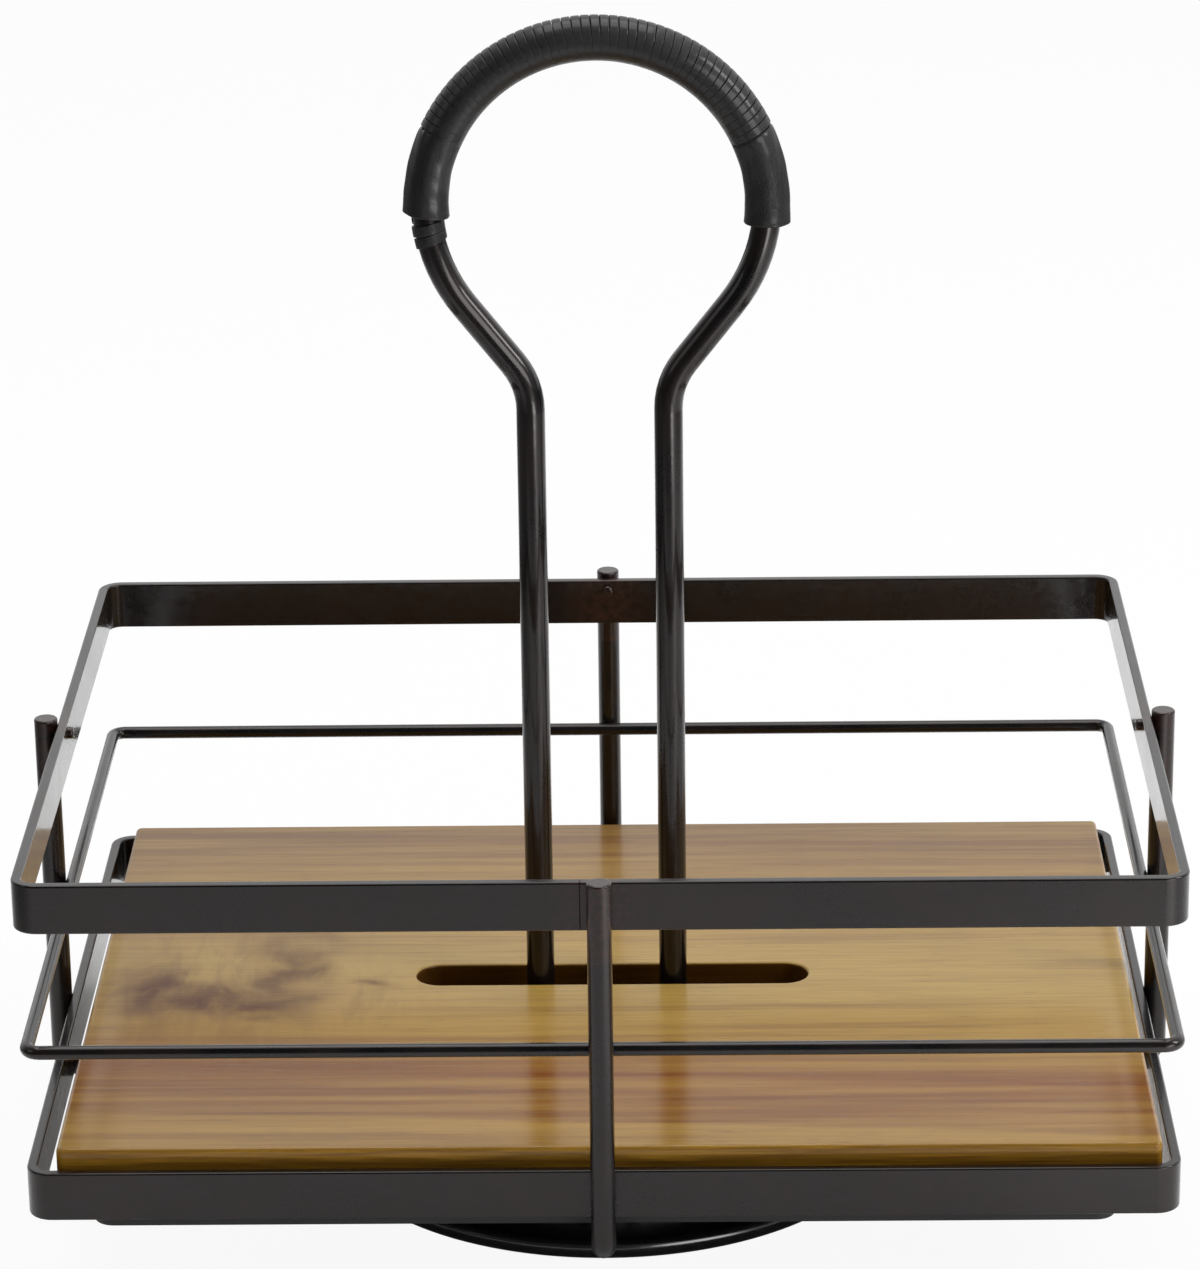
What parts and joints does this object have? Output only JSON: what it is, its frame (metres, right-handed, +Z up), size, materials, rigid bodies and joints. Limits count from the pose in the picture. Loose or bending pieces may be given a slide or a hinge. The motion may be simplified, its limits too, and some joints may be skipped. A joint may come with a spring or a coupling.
{
  "type": "revolving condiment caddy",
  "caption": "Rectangular metal condiment caddy with a loose wooden floor board and a tall loop handle, turning on a round ball-bearing base.",
  "frame": {"origin": "on the table under the turntable's axis, at the middle of the object", "axes": "+Z up along the turntable's axis and the handle, X along the caddy's long side, +Y from the front side to the back"},
  "size_m": [0.2922, 0.224, 0.3027],
  "materials": {
    "base_plastic": "gloss",
    "foot_rubber": "matte",
    "bearing_steel": "satin",
    "ball_steel": "polished",
    "cage_plastic": "matte",
    "frame_metal": "satin, dark bronze",
    "pan_metal": "satin black",
    "board_wood": "oiled",
    "grip_leather": "satin"
  },
  "bodies": {
    "base": {"base_disc": "base_plastic", "rubber_feet": "foot_rubber", "lower_race": "bearing_steel", "race_screws": "bearing_steel", "centre_rivet": "bearing_steel"},
    "carousel": {"upper_race": "bearing_steel", "side_cradle_rod": "frame_metal", "front_arm_rod": "frame_metal", "back_arm_rod": "frame_metal", "upright_pins": "frame_metal", "bottom_band": "frame_metal", "middle_wire": "frame_metal", "top_band": "frame_metal", "deck_pan": "pan_metal", "handle_rod": "frame_metal", "grip_end_sleeve_left": "grip_leather", "grip_end_sleeve_right": "grip_leather", "cord_winding": "grip_leather", "handle_weld_beads": "frame_metal", "arm_weld_beads": "frame_metal", "race_weld_beads": "frame_metal", "pan_weld_beads": "frame_metal"},
    "ball_ring": {"ball_cage": "cage_plastic", "bearing_balls": "ball_steel"},
    "board": {"wood_board": "board_wood"}
  },
  "joints": [
    {"name": "turntable_spin", "type": "hinge", "parent": "base", "child": "carousel", "pos_m": [0, 0, 0.0172], "axis": [0, 0, 1], "continuous": true},
    {"name": "ball_ring_roll", "type": "hinge", "parent": "base", "child": "ball_ring", "pos_m": [0, 0, 0.01325], "axis": [0, 0, 1], "continuous": true},
    {"name": "board_lift", "type": "slide", "parent": "carousel", "child": "board", "axis": [0, 0, 1], "range_m": [0, 0.28]}
  ],
  "couplings": [
    {"joint": "ball_ring_roll", "follows": "turntable_spin", "ratio": 0.5}
  ]
}
